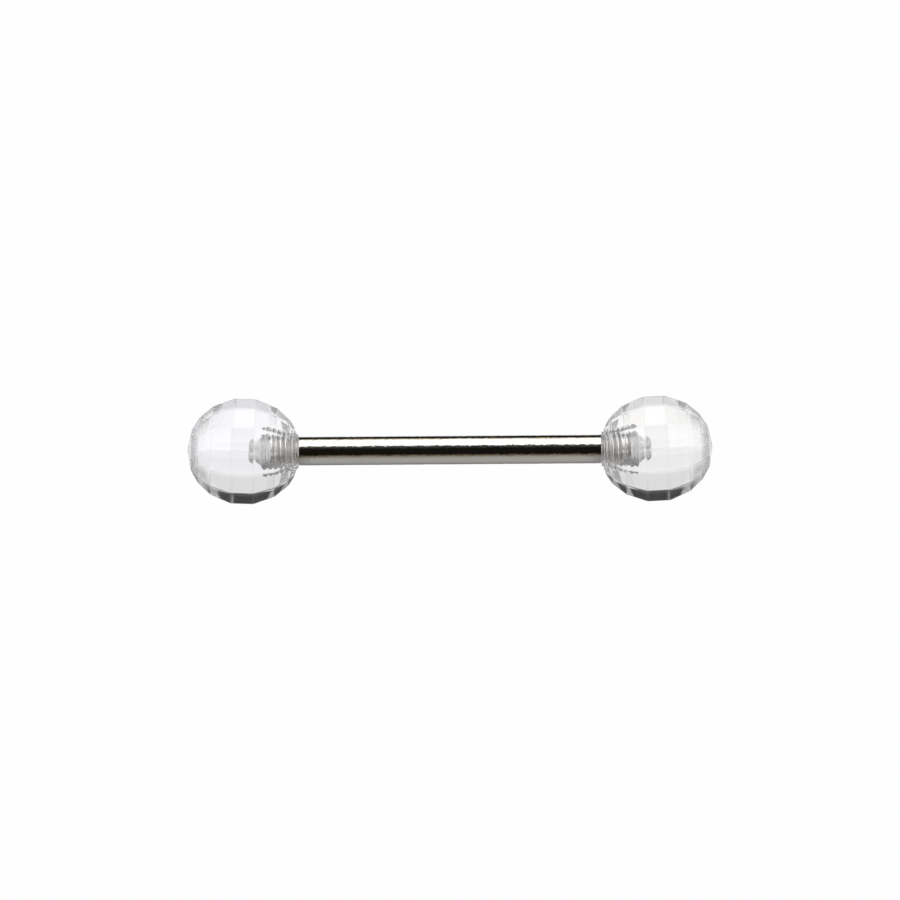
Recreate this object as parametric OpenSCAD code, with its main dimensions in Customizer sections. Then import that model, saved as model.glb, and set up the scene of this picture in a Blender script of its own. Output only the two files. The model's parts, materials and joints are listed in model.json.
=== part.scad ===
// Nipple barbell: a straight steel bar with a clear faceted ball screwed on each end.
// The bar lies along X, the balls rest on the plane z = 0, and the origin is midway between them.

/* [Bar] */
// Diameter of the polished shank, 14 gauge
bar_d = 1.6; // [1.5:0.05:1.7]
// Length of shank that shows between the two balls
wear_l = 16.8; // [12:0.4:20]

/* [Thread] */
// Distance from one thread ridge to the next
pitch = 0.35; // [0.3:0.05:0.4]
// Length of the threaded end beyond the shank
thread_l = 1.8; // [1.4:0.1:2]
// Height of a thread ridge over its groove
ridge_h = 0.19; // [0.15:0.01:0.2]
// Flat sides in one turn of the thread
turn_sides = 24; // [16:4:32]

/* [Balls] */
// Diameter of a ball over the flats of its widest rows
ball_d = 5.8; // [5.5:0.05:6.2]
// Length from the ball's centre to its outer tip
tip_l = 3.16; // [3:0.02:3.3]
// Length from the ball's centre to its mouth, where the bar goes in
mouth_l = 3.04; // [2.96:0.02:3.1]
// Semi-axis that the facets follow on the mouth side, a little longer than the ball's radius
mouth_reach = 3.18; // [3.12:0.02:3.3]
// Number of facets round the bar
rows = 14; // [12:2:16]
// Lean of the left ball's facets against its hole, in degrees
left_lean = 2.5; // [0:0.1:8]
// Lean of the right ball's facets against its hole, in degrees
right_lean = 3; // [0:0.1:8]

/* [Holes] */
// Clearance between the thread's ridges and the wall of the hole
hole_play = 0.03; // [0.02:0.01:0.06]
// Depth of the tapped part of the hole
tapped_l = 2.45; // [2.2:0.05:2.6]
// Diameter of the blunt nose of the hole, where it leaves the thread
nose_d = 1.12; // [1:0.02:1.2]
// Diameter of the nose at its flat end
nose_end_d = 0.6; // [0.3:0.02:0.9]
// Length of the nose beyond the tapped part
nose_l = 0.3; // [0.2:0.02:0.5]

/* [Hidden] */
$fn = 96;
SMALL = 0.01;

steel = [0.72, 0.71, 0.69];
acrylic = [0.86, 0.88, 0.9, 0.45];

bar_r = bar_d / 2;
hole_r = bar_r + hole_play;
tip_chamfer = ridge_h;
// The thread starts this far inside the shank, and its ridge winds up from further in still
thread_overlap = pitch / 3;
thread_lead = 1.5 * pitch;

// Facet rings of a ball, from the mouth side to the outer tip: angle up from the ring round its middle
mouth_rings = [-52, -33.75, -11.25];
tip_rings = [11.25, 33.75, 52, 67.5];
// The mouth side runs on past the cut of the mouth, to a point that only shapes the last facets
mouth_slope = 0.62;

row_step = 360 / rows;
first_row = row_step / 2;
// The widest flats lie between the middle rings, so the corners stand further out than half of ball_d
corner_r = ball_d / 2 / cos(row_step / 2) / cos(tip_rings[0]);

function ring_x(angle) = sin(angle) * (angle < 0 ? mouth_reach : tip_l);
function ring_r(angle) = cos(angle) * corner_r;
function ring_points(angle) = [
    for (i = [0:rows - 1])
        let (turn = first_row + i * row_step)
        [ring_x(angle), ring_r(angle) * sin(turn), -ring_r(angle) * cos(turn)]
];

// Lowest point of a ball whose facets lean: the bottom edge of the ring beside its middle, on the mouth side
function rest_height(lean) =
    ring_r(mouth_rings[2]) * cos(row_step / 2) * cos(lean) - ring_x(mouth_rings[2]) * sin(lean);
axis_z = max(rest_height(left_lean), rest_height(right_lean));
ball_x = wear_l / 2 + mouth_l;

module faceted_ball() {
    rings = concat(mouth_rings, tip_rings);
    mouth_point = ring_x(rings[0]) - ring_r(rings[0]) * mouth_slope;
    points = concat(
        [[mouth_point, 0, 0]],
        [for (angle = rings) each ring_points(angle)],
        [[tip_l, 0, 0]]
    );
    last = len(points) - 1;
    faces = concat(
        [for (i = [0:rows - 1]) [0, 1 + i, 1 + (i + 1) % rows]],
        [
            for (k = [0:len(rings) - 2], i = [0:rows - 1])
                let (near = 1 + k * rows, far = near + rows, next = (i + 1) % rows)
                [near + i, far + i, far + next, near + next]
        ],
        [for (i = [0:rows - 1]) let (near = last - rows) [last, near + (i + 1) % rows, near + i]]
    );
    polyhedron(points, faces);
}

// Tapped hole, from the mouth of the ball towards its middle, with its blunt nose
module tapped_hole() {
    rotate([0, 90, 0]) {
        translate([0, 0, -SMALL])
            cylinder(r = hole_r, h = tapped_l + SMALL);
        translate([0, 0, tapped_l - SMALL])
            cylinder(r1 = nose_d / 2, r2 = nose_end_d / 2, h = nose_l + SMALL);
    }
}

// A ball with its centre at the origin and its mouth towards -X
module ball(lean) {
    difference() {
        rotate([0, -lean, 0])
            faceted_ball();
        translate([-mouth_l - ball_d, -ball_d / 2, -ball_d / 2])
            cube(ball_d);
        translate([-mouth_l, 0, 0])
            tapped_hole();
    }
}

// Where along one pitch the corners of the thread's profile lie: two on the ridge, then two in the groove
stations = [0, 1 / 8, 1 / 2, 3 / 4];
per_turn = len(stations);
function thread_r(station) = bar_r - SMALL - (station % per_turn < per_turn / 2 ? 0 : ridge_h);

// A rod with a helical ridge, from x = 0 on, longer than the threaded end
module thread_rod(turns) {
    count = turns * per_turn;
    points = concat(
        [[0, 0, 0]],
        [
            for (i = [0:turn_sides - 1], k = [0:count])
                let (
                    turn = i / turn_sides,
                    x = (floor(k / per_turn) + stations[k % per_turn] + turn) * pitch,
                    r = thread_r(k)
                )
                [x, r * cos(360 * turn), r * sin(360 * turn)]
        ],
        [[(turns + 1) * pitch, 0, 0]]
    );
    // Past the last side comes the first one again, one turn further along
    at = function(i, k) i < turn_sides ? 1 + i * (count + 1) + k : 1 + k + per_turn;
    edge = turn_sides - 1;
    last = len(points) - 1;
    faces = concat(
        [
            for (i = [0:edge], k = [0:count - 1])
                if (i < edge || k < count - per_turn)
                    each [
                        [at(i, k), at(i, k + 1), at(i + 1, k + 1)],
                        [at(i, k), at(i + 1, k + 1), at(i + 1, k)]
                    ]
        ],
        [for (i = [0:edge]) [0, at(i, 0), at(i + 1, 0)]],
        [for (k = [0:per_turn - 1]) [0, at(0, k + 1), at(0, k)]],
        [for (i = [0:edge - 1]) [last, at(i + 1, count), at(i, count)]],
        [for (k = [count - per_turn + 1:count]) [last, at(edge, k - 1), at(edge, k)]],
        [[last, at(0, count), at(edge, count - per_turn)]]
    );
    polyhedron(points, faces);
}

// Threaded end with a chamfered tip, from x = 0 on
module threaded_end() {
    turns = ceil(thread_l / pitch) + 2;
    intersection() {
        translate([-thread_lead, 0, 0])
            thread_rod(turns);
        rotate([0, 90, 0]) {
            translate([0, 0, -thread_overlap])
                cylinder(r = bar_r, h = thread_l - tip_chamfer + thread_overlap);
            translate([0, 0, thread_l - tip_chamfer])
                cylinder(r1 = bar_r, r2 = bar_r - tip_chamfer, h = tip_chamfer);
        }
    }
}

module bar() {
    color(steel)
        translate([0, 0, axis_z]) {
            translate([-wear_l / 2, 0, 0])
                rotate([0, 90, 0])
                    cylinder(r = bar_r, h = wear_l);
            translate([wear_l / 2, 0, 0])
                threaded_end();
            translate([-wear_l / 2, 0, 0])
                rotate([0, 0, 180])
                    threaded_end();
        }
}

module left_ball() {
    color(acrylic)
        translate([-ball_x, 0, axis_z])
            rotate([0, 0, 180])
                ball(left_lean);
}

module right_ball() {
    color(acrylic)
        translate([ball_x, 0, axis_z])
            ball(right_lean);
}

bar();
left_ball();
right_ball();
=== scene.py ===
"""Nipple barbell: a polished steel bar with a clear faceted acrylic ball screwed on each threaded end."""

import json
import math

import bmesh
import bpy
from mathutils import Matrix, Vector


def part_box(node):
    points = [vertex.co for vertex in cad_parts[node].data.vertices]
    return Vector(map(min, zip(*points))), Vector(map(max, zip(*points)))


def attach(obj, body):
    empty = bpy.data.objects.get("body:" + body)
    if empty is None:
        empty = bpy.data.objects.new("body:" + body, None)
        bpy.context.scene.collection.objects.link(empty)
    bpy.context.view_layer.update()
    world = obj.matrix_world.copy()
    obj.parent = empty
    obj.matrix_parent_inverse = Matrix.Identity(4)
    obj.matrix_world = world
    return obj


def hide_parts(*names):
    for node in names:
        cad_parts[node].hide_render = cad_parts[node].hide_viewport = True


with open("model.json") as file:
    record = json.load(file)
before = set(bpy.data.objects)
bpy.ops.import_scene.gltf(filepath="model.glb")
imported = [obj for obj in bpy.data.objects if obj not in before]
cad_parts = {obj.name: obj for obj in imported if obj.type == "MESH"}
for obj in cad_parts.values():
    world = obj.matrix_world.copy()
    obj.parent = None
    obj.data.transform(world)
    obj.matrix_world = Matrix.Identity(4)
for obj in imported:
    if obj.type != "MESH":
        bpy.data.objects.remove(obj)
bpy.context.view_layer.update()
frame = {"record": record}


# The bar is one turned and polished rod of surgical steel. Its plain shank shows between the balls. A
# right-hand M1.6 thread is cut on both ends, fades out at the shank and is chamfered at its tip.
MM = 0.001
shank = next(mount["dims"] for mount in frame["record"]["mounts"] if mount["name"] == "shank")
bar_low, bar_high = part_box("bar")
bar_centre = Vector((0, 0, (bar_low.z + bar_high.z) / 2))
bar_radius = shank["r_mm"] * MM
shoulder_x = shank["length_mm"] / 2 * MM
thread_length = bar_high.x - shoulder_x
SHOULDER_CHAMFER = 0.03 * MM
TIP_CHAMFER = 0.16 * MM
RUN_OUT = 0.3 * MM
THREAD_PITCH = 0.35 * MM
THREAD_UNDERSIZE = 0.01 * MM
RIDGE_HEIGHT = 0.19 * MM
# Shares of one pitch that are flat, on a ridge and in a groove
RIDGE_FLAT = 0.16
GROOVE_FLAT = 0.2
thread_radius = bar_radius - THREAD_UNDERSIZE
# Polishing has taken the ridges down to just below the foot of the shoulder's chamfer
ridge_radius = thread_radius - SHOULDER_CHAMFER
BAR_SIDES = 128
RINGS_PER_TURN = 16
SHANK_RINGS = 24
SHARP_ANGLE = math.radians(35)


def ramp(value, start, end):
    """0 before start, 1 after end, and a smooth step between them."""
    share = min(max((value - start) / (end - start), 0), 1)
    return share * share * (3 - 2 * share)


def groove_share(x, angle):
    """How deep the thread is at a place round the bar: 0 on a ridge, 1 in a groove."""
    turns = x / THREAD_PITCH - angle / math.tau
    from_ridge = abs((turns + 0.5) % 1 - 0.5)
    slope = 0.5 - (RIDGE_FLAT + GROOVE_FLAT) / 2
    return min(max((from_ridge - RIDGE_FLAT / 2) / slope, 0), 1)


def bar_surface(x, angle):
    """Radius of the bar at a place along it and round it."""
    past = abs(x) - shoulder_x
    if past <= 0:
        return bar_radius - max(0, SHOULDER_CHAMFER + past)
    groove = RIDGE_HEIGHT * groove_share(x, angle) * ramp(past, 0, RUN_OUT)
    chamfer = max(0, past - (thread_length - TIP_CHAMFER))
    return min(ridge_radius - groove, thread_radius - chamfer)


def turned_mesh(name, stations, sides, surface):
    """A closed mesh turned round the bar's axis, with surface(x, angle) as its radius."""
    points, faces = [], []
    for x in stations:
        for side in range(sides):
            angle = math.tau * side / sides
            radius = surface(x, angle)
            points.append(bar_centre + Vector((x, radius * math.cos(angle), radius * math.sin(angle))))
    for ring in range(len(stations) - 1):
        near, far = ring * sides, (ring + 1) * sides
        for side in range(sides):
            after = (side + 1) % sides
            faces.append((far + after, far + side, near + side, near + after))
    start, end = len(points), len(points) + 1
    points += [bar_centre + Vector((x, 0, 0)) for x in (stations[0], stations[-1])]
    last = (len(stations) - 1) * sides
    for side in range(sides):
        after = (side + 1) % sides
        faces.append((after, side, start))
        faces.append((last + side, last + after, end))
    mesh = bpy.data.meshes.new(name)
    mesh.from_pydata(points, [], faces)
    mesh.shade_smooth()
    return mesh


def placed(name, mesh, *finishes):
    """A new object in the scene with this mesh, which takes these materials in their order."""
    for finish in finishes:
        mesh.materials.append(finish)
    made = bpy.data.objects.new(name, mesh)
    bpy.context.scene.collection.objects.link(made)
    return made


thread_rings = math.ceil(thread_length / THREAD_PITCH * RINGS_PER_TURN)
one_end = [shoulder_x + thread_length * ring / thread_rings for ring in range(1, thread_rings + 1)]
half_shank = [shoulder_x * ring / SHANK_RINGS for ring in range(SHANK_RINGS)]
right_half = half_shank + [shoulder_x - SHOULDER_CHAMFER, shoulder_x] + one_end
bar_stations = [-x for x in reversed(right_half[1:])] + right_half
bar_mesh = turned_mesh("bar_mesh", bar_stations, BAR_SIDES, bar_surface)
bar_mesh.set_sharp_from_angle(angle=SHARP_ANGLE)


class Finish:
    """A socket in the node tree of a finish. Arithmetic with it adds Math nodes."""

    def __init__(self, tree, socket=None):
        self.tree, self.socket = tree, socket

    def node(self, kind, settings=None, sockets=None, output=0):
        """Adds a node, sets it up, and sets or links its sockets. Gives the asked output."""
        made = self.tree.nodes.new(kind)
        for name, value in (settings or {}).items():
            setattr(made, name, value)
        for name, value in (sockets or {}).items():
            if isinstance(value, Finish):
                self.tree.links.new(value.socket, made.inputs[name])
            else:
                made.inputs[name].default_value = value
        return Finish(self.tree, made.outputs[output] if len(made.outputs) else None)

    def maths(self, operation, *values):
        """A Math node, on numbers."""
        return self.node("ShaderNodeMath", {"operation": operation}, dict(enumerate(values)))

    def vectors(self, operation, *values):
        """A Vector Math node, on colours."""
        return self.node("ShaderNodeVectorMath", {"operation": operation}, dict(enumerate(values)))

    def blend(self, share, before, after):
        """A Mix node's colour: before where the share is 0, after where it is 1."""
        sockets = {"Factor": share, 6: before, 7: after}
        return self.node("ShaderNodeMix", {"data_type": "RGBA"}, sockets, output=2)

    def rise(self, start, end):
        """0 below start, 1 above end, and a smooth step between them."""
        ends = {"Value": self, "From Min": start, "From Max": end}
        return self.node("ShaderNodeMapRange", {"interpolation_type": "SMOOTHSTEP"}, ends)

    def __add__(self, other):
        return self.maths("ADD", self, other)

    def __radd__(self, other):
        return self.maths("ADD", other, self)

    def __sub__(self, other):
        return self.maths("SUBTRACT", self, other)

    def __rsub__(self, other):
        return self.maths("SUBTRACT", other, self)

    def __mul__(self, other):
        return self.maths("MULTIPLY", self, other)

    def __rmul__(self, other):
        return self.maths("MULTIPLY", other, self)


def new_finish(name):
    """A material with an empty node tree."""
    made = bpy.data.materials.new(name)
    made.use_nodes = True
    made.node_tree.nodes.clear()
    return made, Finish(made.node_tree)


STEEL_COLOUR = (0.74, 0.725, 0.69, 1)
# The polish has a fine grain that is drawn out round the bar
GRAIN_STRETCH = (1, 0.5, 0.5)
steel, shader = new_finish("polished_steel")
place = shader.node("ShaderNodeTexCoord", output="Object")
stretched = shader.node("ShaderNodeMapping", sockets={"Vector": place, "Scale": GRAIN_STRETCH})
grain = shader.node("ShaderNodeTexNoise", sockets={"Vector": stretched, "Scale": 14000, "Detail": 2})
cloud = shader.node("ShaderNodeTexNoise", sockets={"Vector": place, "Scale": 900, "Detail": 2})
dents = shader.node("ShaderNodeTexNoise", sockets={"Vector": place, "Scale": 4500, "Detail": 1})
relief = shader.node(
    "ShaderNodeBump",
    sockets={"Height": dents + 0.6 * grain, "Strength": 0.55, "Distance": 0.02 * MM},
)
metal = shader.node(
    "ShaderNodeBsdfPrincipled",
    sockets={
        "Base Color": STEEL_COLOUR,
        "Metallic": 1.0,
        "Roughness": 0.07 + 0.06 * cloud,
        "Normal": relief,
    },
)
shader.node("ShaderNodeOutputMaterial", sockets={"Surface": metal})

bar = placed("steel_bar", bar_mesh, steel)
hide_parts("bar")
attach(bar, "bar")


# Each ball is moulded from clear acrylic, with rows of flat facets that lean a little against its hole, and
# wear has rubbed their edges soft. The hole has a rounded lip, a tapped thread and a blunt nose, and is
# frosted past the bar's tip. The ball screws on the bar's thread up to the shoulder of the shank.
TIP_REACH = 3.16 * MM
MOUTH_DISTANCE = 3.04 * MM
MOUTH_REACH = 3.18 * MM
FLATS_DIAMETER = 5.8 * MM
ROWS = 14
# Where the rings of corners stand, in degrees from the ball's waist
MOUTH_RINGS = (-52, -33.75, -11.25)
TIP_RINGS = (11.25, 33.75, 52, 67.5)
MOUTH_SLOPE = 0.62
EDGE_ROUNDING = 0.05 * MM
EDGE_SEGMENTS = 3
ROUND_PROFILE = 0.5
# The facets take a ball's first material, and the rubbed edges its next
RUBBED_SLOT = 1
LEANS = {"left_ball": math.radians(2.5), "right_ball": math.radians(3)}
HOLE_PLAY = 0.03 * MM
TAP_HEIGHT = 0.08 * MM
TAPPED_DEPTH = 2.45 * MM
TAP_OVERHANG = 0.38 * MM
THREAD_FADE = 0.15 * MM
NOSE_RADIUS = 0.56 * MM
NOSE_END_RADIUS = 0.3 * MM
NOSE_LENGTH = 0.3 * MM
NOSE_ROUNDING = 0.08 * MM
MOUTH_CHAMFER = 0.05 * MM
LIP_RADIUS = 0.98 * MM
LIP_ROUNDING = 0.12 * MM
LIP_FLARE = 3
# How far past its rounding the lip's form flares out, as shares of the ball's length
LIP_FLARE_REACH = (0.2, 1.2)
HOLE_SIDES = 96
NOSE_RINGS = 12
LIP_RINGS = 6
hole_radius = thread_radius + HOLE_PLAY
ball_length = MOUTH_DISTANCE + TIP_REACH
row_step = math.tau / ROWS
corner_radius = FLATS_DIAMETER / 2 / math.cos(row_step / 2) / math.cos(math.radians(TIP_RINGS[0]))


def facet_ring(degrees):
    """The corners of one ring of facets, round the axis of an unleaned ball whose mouth faces -X."""
    up = math.radians(degrees)
    x = math.sin(up) * (MOUTH_REACH if degrees < 0 else TIP_REACH)
    radius = corner_radius * math.cos(up)
    turns = [row_step * (row + 0.5) for row in range(ROWS)]
    return [Vector((x, radius * math.sin(turn), -radius * math.cos(turn))) for turn in turns]


def faceted_body(name, lean):
    """The facets of a ball with softly rounded edges, leaned, and cut flat at its mouth."""
    work = bmesh.new()
    rings = [[work.verts.new(corner) for corner in facet_ring(up)] for up in MOUTH_RINGS + TIP_RINGS]
    first = facet_ring(MOUTH_RINGS[0])[0]
    mouth_point = work.verts.new((first.x - first.yz.length * MOUTH_SLOPE, 0, 0))
    tip_point = work.verts.new((TIP_REACH, 0, 0))
    for row in range(ROWS):
        after = (row + 1) % ROWS
        work.faces.new((mouth_point, rings[0][after], rings[0][row]))
        work.faces.new((tip_point, rings[-1][row], rings[-1][after]))
        for near, far in zip(rings, rings[1:]):
            work.faces.new((near[row], near[after], far[after], far[row]))
    rounded = bmesh.ops.bevel(
        work,
        geom=list(work.edges),
        offset=EDGE_ROUNDING,
        segments=EDGE_SEGMENTS,
        profile=ROUND_PROFILE,
        affect="EDGES",
    )
    for face in rounded["faces"]:
        face.material_index = RUBBED_SLOT
    bmesh.ops.rotate(work, verts=work.verts, cent=(0, 0, 0), matrix=Matrix.Rotation(-lean, 3, "Y"))
    cut = bmesh.ops.bisect_plane(
        work,
        geom=list(work.verts) + list(work.edges) + list(work.faces),
        plane_co=(-MOUTH_DISTANCE, 0, 0),
        plane_no=(-1, 0, 0),
        clear_outer=True,
    )
    rim = [part for part in cut["geom_cut"] if isinstance(part, bmesh.types.BMEdge)]
    bmesh.ops.contextual_create(work, geom=rim)
    bmesh.ops.recalc_face_normals(work, faces=work.faces)
    mesh = bpy.data.meshes.new(name)
    work.to_mesh(mesh)
    work.free()
    return mesh


def rounded_drop(rounding, share):
    """How far a rounded edge has dropped: not at all at a share of 0, and by its radius at 1."""
    return rounding * (1 - math.sqrt(max(0, 1 - share * share)))


def hole_surface(x, angle):
    """Radius of a tapped hole that runs along +X from the shoulder of the bar to its blunt nose."""
    depth = x - shoulder_x
    if depth > TAPPED_DEPTH:
        to_end = TAPPED_DEPTH + NOSE_LENGTH - depth
        cone = NOSE_END_RADIUS + (NOSE_RADIUS - NOSE_END_RADIUS) * to_end / NOSE_LENGTH
        return cone - rounded_drop(NOSE_ROUNDING, max(0, 1 - to_end / NOSE_ROUNDING))
    tapped = hole_radius - TAP_HEIGHT * ramp(groove_share(x, angle), 0, 1)
    fade = ramp(depth, TAPPED_DEPTH - THREAD_FADE, TAPPED_DEPTH)
    return max(tapped * (1 - fade) + NOSE_RADIUS * fade, hole_radius + MOUTH_CHAMFER - max(depth, 0))


def lip_surface(x, angle):
    """Radius of the form that a ball is kept inside: a rounded lip at the mouth, then a wide flare."""
    depth = x - shoulder_x
    if depth > LIP_ROUNDING:
        return LIP_RADIUS + LIP_FLARE * (depth - LIP_ROUNDING)
    return LIP_RADIUS - rounded_drop(LIP_ROUNDING, 1 - max(depth, 0) / LIP_ROUNDING)


def combined(body, tool, operation):
    """The first object's mesh after a boolean with the second, with both objects deleted."""
    change = body.modifiers.new("cut", "BOOLEAN")
    change.object = tool
    change.operation = operation
    change.solver = "EXACT"
    change.material_mode = "TRANSFER"
    bpy.context.view_layer.update()
    evaluated = body.evaluated_get(bpy.context.evaluated_depsgraph_get())
    mesh = bpy.data.meshes.new_from_object(evaluated)
    for spent in (body, tool):
        bpy.data.objects.remove(spent)
    return mesh


ACRYLIC_IOR = 1.491


def end_acrylic(shader, colour, roughness, clearness, relief):
    """Ends a finish of acrylic. They all bend light alike."""
    surface = shader.node(
        "ShaderNodeBsdfPrincipled",
        sockets={
            "Base Color": colour,
            "Roughness": roughness,
            "IOR": ACRYLIC_IOR,
            "Transmission Weight": clearness,
            "Normal": relief,
        },
    )
    shader.node("ShaderNodeOutputMaterial", sockets={"Surface": surface})


# The facets are clear, with faint waves and smears, and are worn duller towards the tip of the ball
FACET_COLOUR = (0.985, 0.98, 0.985, 1)
WEAR_START = 12 * MM
WEAR_END = 13.8 * MM
acrylic, shader = new_finish("clear_acrylic")
place = shader.node("ShaderNodeTexCoord", output="Object")
waves = shader.node("ShaderNodeTexNoise", sockets={"Vector": place, "Scale": 700, "Detail": 1})
smears = shader.node("ShaderNodeTexNoise", sockets={"Vector": place, "Scale": 1500, "Detail": 4})
along = shader.node("ShaderNodeSeparateXYZ", sockets={"Vector": place}, output="X")
wear = shader.maths("ABSOLUTE", along).rise(WEAR_START, WEAR_END)
relief = shader.node("ShaderNodeBump", sockets={"Height": waves, "Strength": 0.08, "Distance": 0.02 * MM})
dullness = 0.05 + 0.03 * smears + 0.25 * wear
end_acrylic(shader, FACET_COLOUR, dullness, clearness=1.0, relief=relief)

# The rubbed edges are a little duller, with fine nicks
EDGE_COLOUR = (0.97, 0.97, 0.98, 1)
rubbed, shader = new_finish("rubbed_edges")
place = shader.node("ShaderNodeTexCoord", output="Object")
nicks = shader.node("ShaderNodeTexNoise", sockets={"Vector": place, "Scale": 9000, "Detail": 2})
relief = shader.node("ShaderNodeBump", sockets={"Height": nicks, "Strength": 0.3, "Distance": 0.01 * MM})
dullness = 0.15 + 0.15 * nicks
end_acrylic(shader, EDGE_COLOUR, dullness, clearness=0.97, relief=relief)

# The tap left its chatter on the wall of the hole, which is frosted past the bar's tip
WALL_COLOUR = (0.92, 0.92, 0.93, 1)
FROSTED_COLOUR = (0.82, 0.82, 0.83, 1)
FROST_FADE = 0.2 * MM
tapped_wall, shader = new_finish("tapped_acrylic")
place = shader.node("ShaderNodeTexCoord", output="Object")
chatter = shader.node("ShaderNodeTexNoise", sockets={"Vector": place, "Scale": 6000, "Detail": 3})
along = shader.node("ShaderNodeSeparateXYZ", sockets={"Vector": place}, output="X")
bar_tip = shoulder_x + thread_length
frost = shader.maths("ABSOLUTE", along).rise(bar_tip, bar_tip + FROST_FADE)
relief = shader.node("ShaderNodeBump", sockets={"Height": chatter, "Strength": 0.05, "Distance": 0.01 * MM})
wall_colour = shader.blend(frost, WALL_COLOUR, FROSTED_COLOUR)
dullness = 0.2 + 0.05 * chatter + 0.4 * frost
end_acrylic(shader, wall_colour, dullness, clearness=0.9, relief=relief)

tapped_rings = math.ceil(TAPPED_DEPTH / THREAD_PITCH * RINGS_PER_TURN)
nose_steps = [math.sin(math.pi / 2 * ring / NOSE_RINGS) for ring in range(1, NOSE_RINGS + 1)]
hole_stations = [shoulder_x - TAP_OVERHANG, shoulder_x]
hole_stations += [shoulder_x + TAPPED_DEPTH * ring / tapped_rings for ring in range(1, tapped_rings + 1)]
hole_stations += [shoulder_x + TAPPED_DEPTH + NOSE_LENGTH * step for step in nose_steps]
lip_steps = [1 - math.cos(math.pi / 2 * ring / LIP_RINGS) for ring in range(LIP_RINGS + 1)]
lip_stations = [shoulder_x + LIP_ROUNDING * step for step in lip_steps]
lip_stations += [shoulder_x + LIP_ROUNDING + ball_length * share for share in LIP_FLARE_REACH]
half_turn = Matrix.Rotation(math.pi, 4, "Y")
upside_down = Matrix.Translation(bar_centre) @ half_turn @ Matrix.Translation(-bar_centre)
for name, lean in LEANS.items():
    facets = placed(name + "_facets", faceted_body(name + "_facets", lean), acrylic, rubbed)
    tap_mesh = turned_mesh(name + "_tap", hole_stations, HOLE_SIDES, hole_surface)
    tap = placed(name + "_tap", tap_mesh, tapped_wall)
    lip_mesh = turned_mesh(name + "_lip", lip_stations, HOLE_SIDES, lip_surface)
    lip = placed(name + "_lip", lip_mesh, acrylic)
    facets.data.transform(Matrix.Translation(bar_centre + Vector((shoulder_x + MOUTH_DISTANCE, 0, 0))))
    if name == "left_ball":
        facets.data.transform(Matrix.Rotation(math.pi, 4, "Z"))
        # Turned round like the facets, the ridges of the left hole would meet those of the bar
        tap.data.transform(upside_down)
        lip.data.transform(upside_down)
    lipped = placed(name + "_lipped", combined(facets, lip, "INTERSECT"))
    ball = placed("acrylic_" + name, combined(lipped, tap, "DIFFERENCE"))
    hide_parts(name)
    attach(ball, name)


# The barbell lies on a glowing white sheet, bright behind the bar past one dim band, a painted shadow of
# the bar. In front the glow is brightest near the bar, dimmer under each ball with a painted shadow of the
# ball, and fades to brown. The camera sees a plain white sheet, and light that has turned many times inside
# a ball takes one mean tone from it.
SHEET_HALF = 1.5
PAPER_WHITE = (0.99, 0.99, 1, 1)
MEAN_TONE = (0.56, 0.55, 0.57, 1)
MANY_TURNS_START = 4
MANY_TURNS_END = 9
LAVENDER = (0.985, 0.975, 1, 1)
IVORY = (0.985, 0.985, 0.975, 1)
IVORY_REACH = 12 * MM
WARM_WHITE = (1, 0.99, 0.97, 1)
BROWN = (1, 0.78, 0.5, 1)
BRIGHTEST = 0.46
# In millimetres: where the front is brightest, and the square of how far from there it has halved
BRIGHTEST_Y = -2.6
HALVING_SQUARE = 31
SHADE_INNER = 2.5 * MM
SHADE_OUTER = 4 * MM
SHADE_UNDER_BALL = 0.4


def as_seen(shader, glow):
    """The glow itself for light that has turned a few times, else a mean tone, or white to the camera."""
    turns = shader.node("ShaderNodeLightPath", output="Ray Depth")
    many_turns = turns.rise(MANY_TURNS_START, MANY_TURNS_END)
    to_camera = shader.node("ShaderNodeLightPath", output="Is Camera Ray")
    return shader.blend(to_camera, shader.blend(many_turns, glow, MEAN_TONE), PAPER_WHITE)


sheet_mesh = bpy.data.meshes.new("floor")
corners = [(-1, -1), (1, -1), (1, 1), (-1, 1)]
sheet_mesh.from_pydata([(SHEET_HALF * x, SHEET_HALF * y, 0) for x, y in corners], [], [(0, 1, 2, 3)])
white_sheet, shader = new_finish("white_sheet")
place = shader.node("ShaderNodeTexCoord", output="Object")
across = shader.node("ShaderNodeSeparateXYZ", sockets={"Vector": place}, output="X")
from_ball = shader.maths("ABSOLUTE", across) - (shoulder_x + MOUTH_DISTANCE)
# A painted shadow of each ball on the sheet, darkest under its middle
painted_ball_shadow = 1 - shader.maths("ABSOLUTE", from_ball).rise(SHADE_INNER, SHADE_OUTER)
# Behind the bar's axis is above 0 and in front of it below, in millimetres
behind = shader.node("ShaderNodeSeparateXYZ", sockets={"Vector": place}, output="Y") * (1 / MM)
past_bar = behind.rise(-0.6, 0.3)
# Just behind the bar the glow stays low, a painted shadow of the bar: a first step, then the dim band
first_step = 0.3 * past_bar
painted_bar_shadow = 0.24 * behind.rise(0.7, 1.5)
bright_band = 0.99 * behind.rise(1.8, 3)
far_loss = 0.12 * behind.rise(4, 8)
lit_behind = first_step - painted_bar_shadow + bright_band - far_loss
from_brightest = behind - BRIGHTEST_Y
fall_off = 1 + from_brightest * from_brightest * (1 / HALVING_SQUARE)
lit_before = shader.maths("DIVIDE", BRIGHTEST, fall_off) * (1 - past_bar)
lit_before = lit_before * (1 - SHADE_UNDER_BALL * painted_ball_shadow)
warm = shader.blend(behind.rise(-14, -2), BROWN, WARM_WHITE)
cool = shader.blend(across.rise(-IVORY_REACH, IVORY_REACH), LAVENDER, IVORY)
warm_glow = shader.vectors("MULTIPLY", warm, lit_before)
cool_glow = shader.vectors("MULTIPLY", cool, lit_behind)
sheet_glow = as_seen(shader, shader.vectors("ADD", warm_glow, cool_glow))
lamp = shader.node("ShaderNodeEmission", sockets={"Color": sheet_glow, "Strength": 1.0})
shader.node("ShaderNodeOutputMaterial", sockets={"Surface": lamp})
sheet = placed("floor", sheet_mesh, white_sheet)


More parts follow.
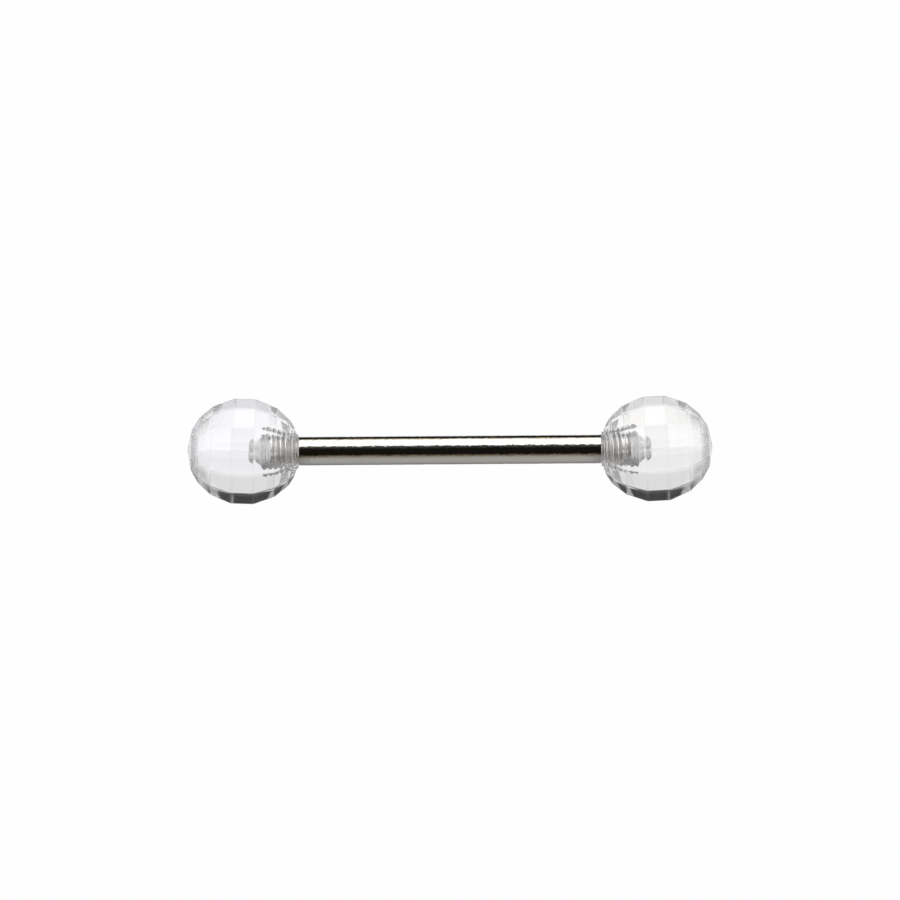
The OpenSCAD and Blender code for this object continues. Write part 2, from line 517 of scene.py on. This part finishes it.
# A white tent with lit side walls and a lit roof stands round the barbell. At its back a dark gap lies
# between a low lit strip and the roof's golden edge. Its front is open to a dark room. The camera sees it as
# plain white, and light that has turned many times inside a ball takes the mean tone.
WALL_LIGHT = 1.8
STRIP_LIGHT = 0.78
BACK_ROOF_LIGHT = 1.75
FRONT_ROOF_LIGHT = 1.8
ROOM_LIGHT = 0.06
# How fast the strip and the back of the roof climb towards the sides
STRIP_CLIMB = 0.25
ROOF_CLIMB = 0.5
ROOM_COLOUR = (0.009, 0.0075, 0.006, 1)
GAP_COLOUR = (0.006, 0.009, 0.012, 1)
TENT_WHITE = (1, 1, 1, 1)
GOLD = (1, 0.84, 0.5, 1)
world = bpy.data.worlds.new("tent")
world.use_nodes = True
world.node_tree.nodes.clear()
bpy.context.scene.world = world
shader = Finish(world.node_tree)
direction = shader.node("ShaderNodeTexCoord", output="Generated")
x, y, z = (
    shader.node("ShaderNodeSeparateXYZ", sockets={"Vector": direction}, output=axis) for axis in "XYZ"
)
# Both angles are in degrees: the height above the sheet, and the turn to either side from straight behind
height = shader.maths("ARCSINE", z) * math.degrees(1)
turn = shader.maths("ARCTAN2", shader.maths("ABSOLUTE", x), y) * math.degrees(1)
back_share = 1 - turn.rise(52, 76)
front_share = turn.rise(120, 150)
roof_edge = (height - ROOF_CLIMB * turn).rise(38, 66)
strip = 1 - (height - STRIP_CLIMB * turn).rise(4, 10)
back = STRIP_LIGHT * strip + BACK_ROOF_LIGHT * roof_edge
front = FRONT_ROOF_LIGHT * height.rise(59, 70) + ROOM_LIGHT * height.rise(36, 60)
light = WALL_LIGHT + (back - WALL_LIGHT) * back_share + (front - WALL_LIGHT) * front_share
golden = back_share * height.rise(30, 38) * (1 - roof_edge.rise(0.2, 0.9))
lit = shader.vectors("MULTIPLY", shader.blend(golden, TENT_WHITE, GOLD), light)
unlit = shader.blend(back_share, ROOM_COLOUR, GAP_COLOUR)
tent = as_seen(shader, shader.vectors("ADD", unlit, lit))
background = shader.node("ShaderNodeBackground", sockets={"Color": tent})
shader.node("ShaderNodeOutputWorld", sockets={"Surface": background})


# The camera stands in front of the bar and looks down on its middle through a long lens, rolled a little.
# Light is caught inside the balls for many turns before it leaves them, so many turns are followed.
LENS = 150
SENSOR = 36
FRAME_WIDTH = 50.0 * MM
VIEW_ELEVATION = math.radians(25.7)
VIEW_ROLL = math.radians(0.42)
LIGHT_TURNS = 48
distance = FRAME_WIDTH * LENS / SENSOR
away = Vector((0, -math.cos(VIEW_ELEVATION), math.sin(VIEW_ELEVATION)))
facing = away.to_track_quat("Z", "Y").to_matrix().to_4x4()
rolled = Matrix.Rotation(-VIEW_ROLL, 4, "Z")
camera_data = bpy.data.cameras.new("camera")
camera_data.lens = LENS
camera_data.sensor_width = SENSOR
camera_data.clip_start = 0.01
camera_data.clip_end = 10
camera = bpy.data.objects.new("camera", camera_data)
bpy.context.scene.collection.objects.link(camera)
camera.matrix_world = Matrix.Translation(bar_centre + away * distance) @ facing @ rolled
bpy.context.scene.camera = camera
bpy.context.scene.view_settings.view_transform = "Standard"
bpy.context.scene.cycles.max_bounces = LIGHT_TURNS
bpy.context.scene.cycles.transmission_bounces = LIGHT_TURNS
bpy.context.scene.cycles.glossy_bounces = LIGHT_TURNS
